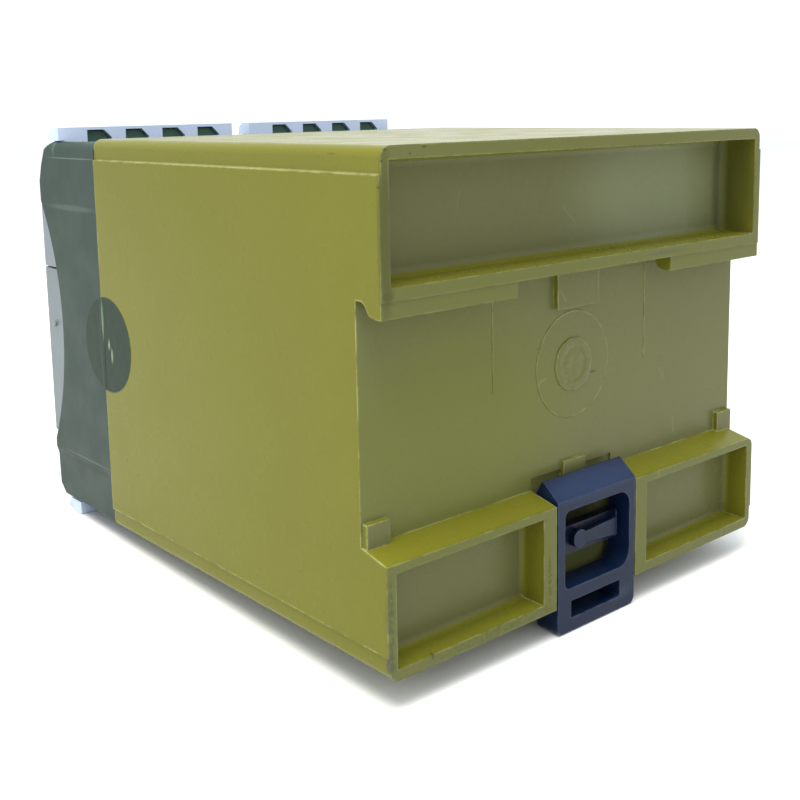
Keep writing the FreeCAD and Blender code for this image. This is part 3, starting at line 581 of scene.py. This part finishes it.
FINISHES: dict[str, Finish] = {
    # casing: its light edge colour is mostly painted edge highlight, and its rear sheen is painted
    # haze
    "casing_yellow": MouldedPlastic(
        "olive_yellow_moulding", OLIVE, roughness=0.28, gloss=0.12, grain=0.005 * MM, wear_and_highlight=0.75,
        wear_and_highlight_colour=srgb(172, 172, 118), specks=0.15, rear_sheen=0.45, hairs=0.14, marks=CASING_MARKS),
    "casing_grey": MouldedPlastic(
        "grey_green_moulding", srgb(32, 51, 43), gloss=0.22, wear_and_highlight=0.2,
        wear_and_highlight_colour=srgb(96, 108, 98), specks=0.1, marks=COVER_MARKS),
    "plate_light": MouldedPlastic(
        "light_cap_moulding", srgb(96, 105, 110), roughness=0.38, mottle=0.15, wear_and_highlight=0.1,
        specks=0.1),
    "panel_light": MouldedPlastic(
        "light_panel_moulding", srgb(103, 112, 118), roughness=0.34, mottle=0.15, wear_and_highlight=0.1,
        specks=0.1),
    "strip_light": MouldedPlastic(
        "light_strip_moulding", srgb(180, 194, 220), roughness=0.42, mottle=0.2, wear_and_highlight=0.15,
        specks=0.2),
    # latch: its lighter edge colour is painted edge highlight
    "latch_blue": MouldedPlastic(
        "dark_blue_moulding", srgb(9, 24, 50), roughness=0.36, gloss=0.2, grain=0.01 * MM,
        wear_and_highlight=0.6, wear_and_highlight_colour=srgb(62, 78, 108), specks=0.1, marks=LATCH_MARKS),
    "clear_guide": ClearPlastic("clear_light_guide", (0.85, 0.88, 0.88)),
    "lens": ClearPlastic("lamp_lens", (0.75, 0.85, 0.7), 0.6),
    "board_green": MouldedPlastic(
        "solder_mask", (0.02, 0.16, 0.06), roughness=0.25, wear_and_highlight=0.0, specks=0.0, coat=0.3),
    "header_black": MouldedPlastic("black_moulding", (0.02, 0.02, 0.022), wear_and_highlight=0.1, specks=0.0),
    "relay_case": MouldedPlastic("cream_moulding", (0.62, 0.60, 0.52), wear_and_highlight=0.1, specks=0.1),
    "core_steel": PlainMetal(
        "varnished_laminations", (0.35, 0.34, 0.33), 0.45, (1.0, 14.0, 1.0)),
    "bobbin_dark": MouldedPlastic("bobbin_moulding", (0.03, 0.03, 0.03), wear_and_highlight=0.1, specks=0.0),
    "winding_tape": MouldedPlastic(
        "winding_tape", (0.62, 0.45, 0.06), roughness=0.3, wear_and_highlight=0.1, specks=0.0, coat=0.2),
    "foot_steel": PlainMetal("tinned_steel", (0.6, 0.6, 0.58), 0.3),
    "can_sleeve": MouldedPlastic(
        "shrunk_sleeve", (0.03, 0.04, 0.10), roughness=0.25, wear_and_highlight=0.1, specks=0.0, coat=0.3),
    "fuse_body": MouldedPlastic(
        "ceramic_tube", (0.78, 0.77, 0.72), roughness=0.2, wear_and_highlight=0.0, coat=0.4),
    "limiter_blue": MouldedPlastic(
        "dipped_epoxy", (0.03, 0.10, 0.42), roughness=0.22, wear_and_highlight=0.0, specks=0.0, coat=0.4),
    "screw_steel": PlainMetal("zinc_plate", (0.62, 0.62, 0.60), 0.28),
    "clamp_steel": PlainMetal("nickel_plate", (0.66, 0.64, 0.58), 0.25),
    "pin_metal": PlainMetal("tinned_brass", (0.72, 0.70, 0.62), 0.25),
    "seal_film": SealFilm(
        "clouded_film", srgb(30, 45, 35), srgb(40, 56, 44), srgb(80, 98, 78), SEAL_MARKS),
}


@dataclass
class Paint:
    """Hands out one material for each slot of the record."""

    made: dict[str, bpy.types.Material] = field(default_factory=dict)

    def of(self, slot: str) -> bpy.types.Material:
        """Finds the material of a slot, and builds it when it is first asked for.

        Args:
            slot: of the record.
        Returns:
            The material.
        """
        if slot not in self.made:
            self.made[slot] = FINISHES[slot].material()
        return self.made[slot]

    def coat(self, piece: bpy.types.Object, slot: str) -> None:
        """Gives a piece a slot's material all over."""
        piece.data.materials.clear()
        piece.data.materials.append(self.of(slot))

    def dress(self, piece: bpy.types.Object, body: Body, slot: str) -> bpy.types.Object:
        """Coats a piece with its slot's material and rides it on its body.

        Args:
            piece: the finished piece.
            body: that it moves with.
            slot: of the record.
        Returns:
            The piece.
        """
        self.coat(piece, slot)
        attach(piece, body.value)
        LOG.info("%s: %d faces", piece.name, len(piece.data.polygons))
        return piece


# ---------------------------------------------------------------- modelling


def clear_selection() -> None:
    """Deselects every object."""
    if bpy.context.object and bpy.context.object.mode != "OBJECT":
        bpy.ops.object.mode_set(mode="OBJECT")
    bpy.ops.object.select_all(action="DESELECT")


def take(piece: bpy.types.Object) -> bpy.types.Object:
    """Makes a piece the only selected and active one.

    Args:
        piece: the piece.
    Returns:
        The piece.
    """
    clear_selection()
    piece.select_set(True)
    bpy.context.view_layer.objects.active = piece
    return piece


def settle(name: str) -> bpy.types.Object:
    """Applies the active piece's place to its mesh and names it.

    Args:
        name: of the piece.
    Returns:
        The piece.
    """
    piece = take(bpy.context.object)
    bpy.ops.object.transform_apply(location=True, rotation=True, scale=True)
    piece.name = name
    piece.data.name = name
    return piece


def apply_modifiers(piece: bpy.types.Object) -> bpy.types.Object:
    """Applies a piece's modifiers in order.

    Args:
        piece: the piece.
    Returns:
        The piece.
    """
    take(piece)
    for modifier in list(piece.modifiers):
        bpy.ops.object.modifier_apply(modifier=modifier.name)
    return piece


def faces_rear(centre: Vector, normal: Vector) -> bool:
    """Picks the faces that look to the rear."""
    return normal.y > FACING_FROM


def edit_faces(piece: bpy.types.Object, wanted: Callable[[Vector, Vector], bool]) -> None:
    """Opens a piece in edit mode with some faces selected.

    Args:
        piece: the piece.
        wanted: says from a face's centre and normal whether it is selected.
    """
    take(piece)
    bpy.ops.object.mode_set(mode="EDIT")
    bpy.ops.mesh.select_mode(type="FACE")
    bpy.ops.mesh.select_all(action="DESELECT")
    bpy.ops.object.mode_set(mode="OBJECT")
    for face in piece.data.polygons:
        face.select = wanted(face.center, face.normal)
    bpy.ops.object.mode_set(mode="EDIT")


def shade_by_angle(piece: bpy.types.Object, angle: float) -> None:
    """Shades a piece smooth, but for edges sharper than an angle."""
    take(piece)
    bpy.ops.object.shade_smooth_by_angle(angle=angle)


def round_edges(piece: bpy.types.Object, width: float, segments: int = 2,
                angle: float = 30.0) -> bpy.types.Object:
    """Rounds a piece's sharp edges and evens its shading.

    Args:
        piece: the piece.
        width: of the rounding.
        segments: across it.
        angle: in degrees, above which an edge is sharp.
    Returns:
        The piece.
    """
    shade_by_angle(piece, FLAT_ANGLE)
    bevel = piece.modifiers.new("rounding", "BEVEL")
    bevel.width = width
    bevel.segments = segments
    bevel.limit_method = "ANGLE"
    bevel.angle_limit = math.radians(angle)
    weighted = piece.modifiers.new("weighting", "WEIGHTED_NORMAL")
    weighted.keep_sharp = True
    weighted.weight = 80
    return apply_modifiers(piece)


def softened_copy(node: str, width: float, segments: int = 2) -> bpy.types.Object:
    """Copies a solid, merges its triangles into flat faces and rounds its edges.

    Args:
        node: the solid's name.
        width: of the edge rounding.
        segments: across the rounding.
    Returns:
        The piece, which replaces the solid.
    """
    piece = bpy.data.objects.new(node + "_moulding", frame["nodes"][node].data.copy())
    bpy.context.scene.collection.objects.link(piece)
    piece.data.name = piece.name
    take(piece)
    bpy.ops.object.mode_set(mode="EDIT")
    bpy.ops.mesh.select_all(action="SELECT")
    bpy.ops.mesh.remove_doubles(threshold=MERGE_GAP)
    bpy.ops.mesh.dissolve_limited(angle_limit=MERGE_ANGLE)
    bpy.ops.object.mode_set(mode="OBJECT")
    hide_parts(node)
    return round_edges(piece, width, segments)


def roughened(piece: bpy.types.Object, name: str, size: float, height: float) -> bpy.types.Object:
    """Lifts a piece's surface unevenly.

    Args:
        piece: the piece, with enough faces.
        name: of the unevenness.
        size: of its features.
        height: of its features.
    Returns:
        The piece.
    """
    pattern = bpy.data.textures.new(name, "CLOUDS")
    pattern.noise_scale = size
    lift = piece.modifiers.new(name, "DISPLACE")
    lift.texture = pattern
    lift.texture_coords = "LOCAL"
    lift.strength = height
    return apply_modifiers(piece)


# ---------------------------------------------------------------- sub-assemblies


@dataclass
class Casing:
    """Yellow housing with the marks that its mould left in the rail channel."""

    paint: Paint
    rounding: float = 0.22 * MM
    channel_back: float = -1.0 * MM
    line_places: tuple[float, float] = (18.5 * MM, -18.8 * MM)
    line_low: float = -0.3 * MM
    line_high: float = 17.6 * MM
    line_width: float = 0.22 * MM
    line_proud: float = 0.07 * MM
    # shares of the line's width, height and width
    line_shoulder: float = 0.3
    line_crown: float = 0.4
    line_rounding: float = 0.12
    gate_at: tuple[float, float] = (-0.1 * MM, 1.55 * MM)
    land_radius: float = 8.9 * MM
    land_sides: int = 96
    land_proud: float = 0.09 * MM
    land_rim: float = 0.22 * MM
    land_slope: float = 0.1 * MM
    land_fall: float = 0.05 * MM
    land_rounding: float = 0.03 * MM
    boss_radius: float = 4.4 * MM
    boss_sides: int = 72
    boss_proud: float = 0.22 * MM
    # width and rise of each ring, from the rim inwards
    boss_rings: tuple[tuple[float, float], ...] = (
        (0.55 * MM, 0.12 * MM), (0.7 * MM, 0.0), (0.45 * MM, -0.22 * MM), (0.9 * MM, 0.1 * MM))
    tear_size: float = 1.5 * MM
    tear_height: float = 0.28 * MM
    tear_cuts: int = 2
    tear_smoothing: float = 0.4

    def build(self) -> None:
        """Builds the housing and its moulding marks."""
        self.paint.dress(softened_copy("housing", self.rounding), Body.CASE, "casing_yellow")
        for side, place in zip(("left", "right"), self.line_places):
            self.witness_line("witness_line_" + side, place)
        self.gate_disc()
        self.gate_boss()

    def witness_line(self, name: str, across: float) -> None:
        """Raises one thin upright line on the channel's floor.

        Args:
            name: of the piece.
            across: its place.
        """
        clear_selection()
        middle = (self.line_low + self.line_high) / 2
        length = self.line_high - self.line_low
        bpy.ops.mesh.primitive_cube_add(size=1.0, location=(across, self.channel_back, middle))
        bpy.context.object.scale = (self.line_width, 2 * self.line_proud, length)
        line = settle(name)
        edit_faces(line, faces_rear)
        bpy.ops.mesh.inset(thickness=self.line_width * self.line_shoulder, depth=0)
        bpy.ops.transform.translate(value=(0, self.line_proud * self.line_crown, 0))
        bpy.ops.object.mode_set(mode="OBJECT")
        round_edges(line, self.line_width * self.line_rounding)
        self.paint.dress(line, Body.CASE, "casing_yellow")

    def disc(self, name: str, radius: float, proud: float, sides: int) -> bpy.types.Object:
        """Adds a low round disc on the channel's floor.

        Args:
            name: of the piece.
            radius: of the disc.
            proud: its height over the floor.
            sides: round its rim.
        Returns:
            The piece.
        """
        clear_selection()
        at = (self.gate_at[0], self.channel_back, self.gate_at[1])
        bpy.ops.mesh.primitive_cylinder_add(vertices=sides, radius=radius, depth=2 * proud,
                                            location=at, rotation=(math.pi / 2, 0, 0))
        return settle(name)

    def gate_disc(self) -> None:
        """Lays the wide round land with its raised rim line."""
        land = self.disc("gate_land", self.land_radius, self.land_proud, self.land_sides)
        edit_faces(land, faces_rear)
        bpy.ops.mesh.inset(thickness=self.land_rim, depth=0)
        bpy.ops.mesh.inset(thickness=self.land_slope, depth=-self.land_fall)
        bpy.ops.object.mode_set(mode="OBJECT")
        self.paint.dress(round_edges(land, self.land_rounding), Body.CASE, "casing_yellow")

    def gate_boss(self) -> None:
        """Raises the rough torn ring left by the gate, hollow in its middle."""
        boss = self.disc("gate_boss", self.boss_radius, self.boss_proud, self.boss_sides)
        edit_faces(boss, faces_rear)
        for width, rise in self.boss_rings:
            bpy.ops.mesh.inset(thickness=width, depth=rise)
        bpy.ops.mesh.poke()
        bpy.ops.mesh.select_all(action="SELECT")
        bpy.ops.mesh.subdivide(number_cuts=self.tear_cuts, smoothness=self.tear_smoothing)
        bpy.ops.object.mode_set(mode="OBJECT")
        roughened(boss, "gate_tear", self.tear_size, self.tear_height)
        shade_by_angle(boss, CREASE_ANGLE)
        self.paint.dress(boss, Body.CASE, "casing_yellow")


@dataclass
class RailLatch:
    """Sliding latch that grips the rail from below."""

    paint: Paint
    rounding: float = 0.22 * MM

    def build(self) -> None:
        """Builds the latch's moulding."""
        self.paint.dress(softened_copy("rail_latch", self.rounding, 3), Body.LATCH, "latch_blue")


@dataclass
class FrontCaps:
    """Grey cover with the light plate, the indicator panel and its lamps."""

    paint: Paint
    cover_rounding: float = 0.2 * MM
    plate_rounding: float = 0.3 * MM

    def build(self) -> None:
        """Builds the caps and finishes the lamps."""
        cover = softened_copy("front_cover", self.cover_rounding)
        self.paint.dress(cover, Body.CASE, "casing_grey")
        plate = softened_copy("front_plate", self.plate_rounding, 3)
        self.paint.dress(plate, Body.CASE, "plate_light")
        panel = softened_copy("indicator_panel", self.plate_rounding, 3)
        self.paint.dress(panel, Body.CASE, "panel_light")
        for lamp in ("led_supply", "led_channel_one", "led_channel_two"):
            self.paint.coat(frame["nodes"][lamp], "lens")
        self.paint.coat(frame["nodes"]["light_guide"], "clear_guide")


@dataclass
class TerminalRows:
    """The four terminal strips with their screws, clamps and pins."""

    paint: Paint
    strip_rounding: float = 0.28 * MM
    poles: int = 4
    head_sides: int = 40
    head_depth: float = 1.2 * MM
    head_rounding: float = 0.12 * MM
    sharp_from: float = 35
    slot_width: float = 0.7 * MM
    # shares of the head's radius
    shank_inset: float = 0.52
    cross_length: float = 1.25
    mark_length: float = 2.4
    # shares of the head's depth, then of the slot's width
    cross_depth: float = 1.5
    mark_depth: float = 0.7
    mark_width: float = 0.8

    def build(self) -> None:
        """Builds every strip, then fits its metal parts."""
        for row in Row:
            strip = softened_copy("terminal_strip_" + row.value, self.strip_rounding, 3)
            self.paint.dress(strip, Body.CASE, "strip_light")
            self.screws(row)
            self.paint.coat(frame["nodes"]["terminal_clamps_" + row.value], "clamp_steel")
            self.paint.coat(frame["nodes"]["contact_pins_" + row.value], "pin_metal")

    def screws(self, row: Row) -> None:
        """Models one screw with a cross recess and copies it along a strip.

        Args:
            row: the strip that they are in.
        """
        node = "terminal_screws_" + row.value
        low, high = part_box(node)
        radius = (high.z - low.z) / 2
        first, last = low.x + radius, high.x - radius
        pitch = (last - first) / (self.poles - 1)
        tip = Vector((first, low.y, (low.z + high.z) / 2))
        screw = self.screw(node + "_detailed", tip, radius, high.y - low.y)
        copies = []
        for pole in range(1, self.poles):
            take(screw)
            bpy.ops.object.duplicate()
            bpy.ops.transform.translate(value=(pole * pitch, 0, 0))
            copies.append(settle("%s_%d" % (screw.name, pole)))
        take(screw)
        for copy in copies:
            copy.select_set(True)
        bpy.ops.object.join()
        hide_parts(node)
        self.paint.dress(screw, Body.CASE, "screw_steel")

    def screw(self, name: str, tip: Vector, radius: float, length: float) -> bpy.types.Object:
        """Models one clamping screw.

        Args:
            name: of the piece.
            tip: the middle of its head's face.
            radius: of the head.
            length: of the whole screw.
        Returns:
            The screw.
        """
        clear_selection()
        bpy.ops.mesh.primitive_cylinder_add(vertices=self.head_sides, radius=radius,
                                            depth=self.head_depth * 2,
                                            location=tip + Vector((0, self.head_depth, 0)),
                                            rotation=(math.pi / 2, 0, 0))
        screw = settle(name)
        edit_faces(screw, faces_rear)
        bpy.ops.mesh.inset(thickness=radius * self.shank_inset, depth=0)
        bpy.ops.mesh.extrude_region_move(
            TRANSFORM_OT_translate={"value": (0, length - 2 * self.head_depth, 0)})
        bpy.ops.object.mode_set(mode="OBJECT")
        cross = (radius * self.cross_length, self.head_depth * self.cross_depth, self.slot_width)
        for turn in (0.0, math.pi / 2):
            self.cut(screw, tip, cross, turn)
        mark = (radius * self.mark_length, self.head_depth * self.mark_depth,
                self.slot_width * self.mark_width)
        self.cut(screw, tip, mark, math.pi / 4)
        return round_edges(screw, self.head_rounding, 2, self.sharp_from)

    def cut(self, screw: bpy.types.Object, tip: Vector, size: Triple, turn: float) -> None:
        """Sinks a slot into a screw's head.

        Args:
            screw: the screw.
            tip: the middle of its head's face.
            size: of the cutter.
            turn: of the slot round the screw's axis.
        """
        clear_selection()
        bpy.ops.mesh.primitive_cube_add(size=1.0, location=tip, rotation=(0, turn, 0))
        bpy.context.object.scale = size
        cutter = settle("slot_cutter")
        boolean = screw.modifiers.new("slot", "BOOLEAN")
        boolean.object = cutter
        apply_modifiers(screw)
        bpy.data.objects.remove(cutter)


@dataclass
class TamperSeal:
    """Round clouded seal over the joint between the housing and the cover."""

    paint: Paint
    sides: int = 48
    cuts: int = 13
    ridge: float = 0.05 * MM
    ridge_half: float = 0.5 * MM
    joint_at: float = -78.5 * MM
    crease_size: float = 2.2 * MM
    crease_height: float = 0.05 * MM
    thickness: float = 0.06 * MM

    def build(self) -> None:
        """Models the film, creased along the joint, and dresses it."""
        low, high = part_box("tamper_seal")
        at = (low.x, (low.y + high.y) / 2, (low.z + high.z) / 2)
        clear_selection()
        bpy.ops.mesh.primitive_circle_add(vertices=self.sides, radius=(high.z - low.z) / 2,
                                          fill_type="TRIFAN", rotation=(0, math.pi / 2, 0),
                                          location=at)
        film = settle("tamper_seal_film")
        edit_faces(film, lambda centre, normal: True)
        bpy.ops.mesh.subdivide(number_cuts=self.cuts)
        bpy.ops.object.mode_set(mode="OBJECT")
        edit_faces(film, lambda centre, normal: abs(centre.y - self.joint_at) < self.ridge_half)
        bpy.ops.transform.translate(value=(self.ridge, 0, 0))
        bpy.ops.object.mode_set(mode="OBJECT")
        roughened(film, "film_creases", self.crease_size, self.crease_height)
        solid = film.modifiers.new("film", "SOLIDIFY")
        solid.thickness = self.thickness
        solid.offset = 1.0
        apply_modifiers(film)
        shade_by_angle(film, CREASE_ANGLE)
        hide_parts("tamper_seal")
        self.paint.dress(film, Body.CASE, "seal_film")


@dataclass
class InnerWorks:
    """Boards, relays, transformer and supply parts inside the casing, kept as solids."""

    paint: Paint
    nodes: tuple[str, ...] = (
        "terminal_board", "relay_board", "supply_board", "relay_header", "supply_header", "relay_1",
        "relay_2", "relay_3", "transformer_core", "transformer_bobbin", "transformer_winding",
        "transformer_feet", "capacitor_1", "capacitor_2", "fuse", "surge_limiter", "rectifier")

    def build(self) -> None:
        """Gives every inner solid the finish of its slot."""
        slots = {part["node"]: part["material_slot"] for part in frame["record"]["subparts"]}
        for node in self.nodes:
            self.paint.coat(frame["nodes"][node], slots[node])
            LOG.info("%s: %s", node, slots[node])


@dataclass(frozen=True)
class SoftLight:
    """One square area light of the studio."""

    name: str
    at: Triple
    size: float
    power: float
    colour: Triple

    def build(self, target: Vector) -> None:
        """Adds the light.

        Args:
            target: the place that it faces.
        """
        data = bpy.data.lights.new(self.name, "AREA")
        data.size = self.size
        data.energy = self.power
        data.color = self.colour
        lamp = bpy.data.objects.new(self.name, data)
        bpy.context.scene.collection.objects.link(lamp)
        lamp.location = self.at
        lamp.rotation_mode = "QUATERNION"
        lamp.rotation_quaternion = (target - Vector(self.at)).to_track_quat("-Z", "Y")


@dataclass
class Studio:
    """Camera, pale floor and soft lights."""

    camera_at: Vector = field(default_factory=lambda: Vector((139.388, 118.715, 43.616)) * MM)
    heading: float = -139.429
    elevation: float = -8.667
    roll: float = -1.038
    lens: float = 50.995
    sensor: float = 36.0
    shift: float = -0.15
    nearest: float = 0.005
    sky: Triple = (0.92, 0.96, 1.0)
    sky_strength: float = 1.3
    floor_size: float = 3.0
    floor_gap: float = 0.1 * MM
    floor_colour: Triple = (0.75, 0.755, 0.76)
    target: Vector = field(default_factory=lambda: Vector((0, -0.04, 0)))
    lights: tuple[SoftLight, ...] = (
        SoftLight("key", (0.5, -0.35, 0.08), 0.4, 0.5, (1.0, 0.98, 0.85)),
        SoftLight("top", (0.2, 0.08, 0.76), 0.5, 9.5, (1.0, 0.98, 0.86)))

    def build(self) -> None:
        """Places everything."""
        self.camera()
        self.floor()
        world = bpy.data.worlds.new("studio")
        bpy.context.scene.world = world
        world.use_nodes = True
        back = world.node_tree.nodes["Background"]
        back.inputs["Color"].default_value = (*self.sky, 1.0)
        back.inputs["Strength"].default_value = self.sky_strength
        bpy.context.scene.view_settings.view_transform = "Standard"
        for light in self.lights:
            light.build(self.target)

    def camera(self) -> None:
        """Adds the camera, behind the housing and to its left."""
        data = bpy.data.cameras.new("camera")
        camera = bpy.data.objects.new("camera", data)
        bpy.context.scene.collection.objects.link(camera)
        data.lens = self.lens
        data.sensor_width = self.sensor
        data.shift_y = self.shift
        data.clip_start = self.nearest
        turn = (Matrix.Rotation(math.radians(-self.heading), 4, "Z")
                @ Matrix.Rotation(math.radians(90 + self.elevation), 4, "X")
                @ Matrix.Rotation(math.radians(self.roll), 4, "Z"))
        camera.matrix_world = Matrix.Translation(self.camera_at) @ turn
        bpy.context.scene.camera = camera

    def floor(self) -> None:
        """Lays the floor so that the latch's foot and the lower strips stand on it."""
        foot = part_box("rail_latch")[0].z
        strip_low, strip_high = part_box("terminal_strip_bottom_left")
        clear_selection()
        bpy.ops.mesh.primitive_plane_add(size=self.floor_size,
                                         location=(0, 0, foot - self.floor_gap))
        floor = bpy.context.object
        floor.name = "floor"
        floor.rotation_euler = (-math.atan2(strip_low.z - foot, -strip_high.y), 0, 0)
        surface = Surface("studio_floor")
        surface.shade(Base_Color=self.floor_colour,
                      Roughness=surface.noise(8.0).smooth(0.2, 0.8) * 0.1 + 0.6)
        floor.data.materials.append(surface.material)


def main() -> None:
    """Builds every sub-assembly in order, then the studio."""
    logging.basicConfig(level=logging.INFO, format="%(message)s")
    paint = Paint()
    for assembly in (Casing(paint), RailLatch(paint), FrontCaps(paint), TerminalRows(paint),
                     TamperSeal(paint), InnerWorks(paint)):
        assembly.build()
    Studio().build()


if __name__ == "__main__":
    main()
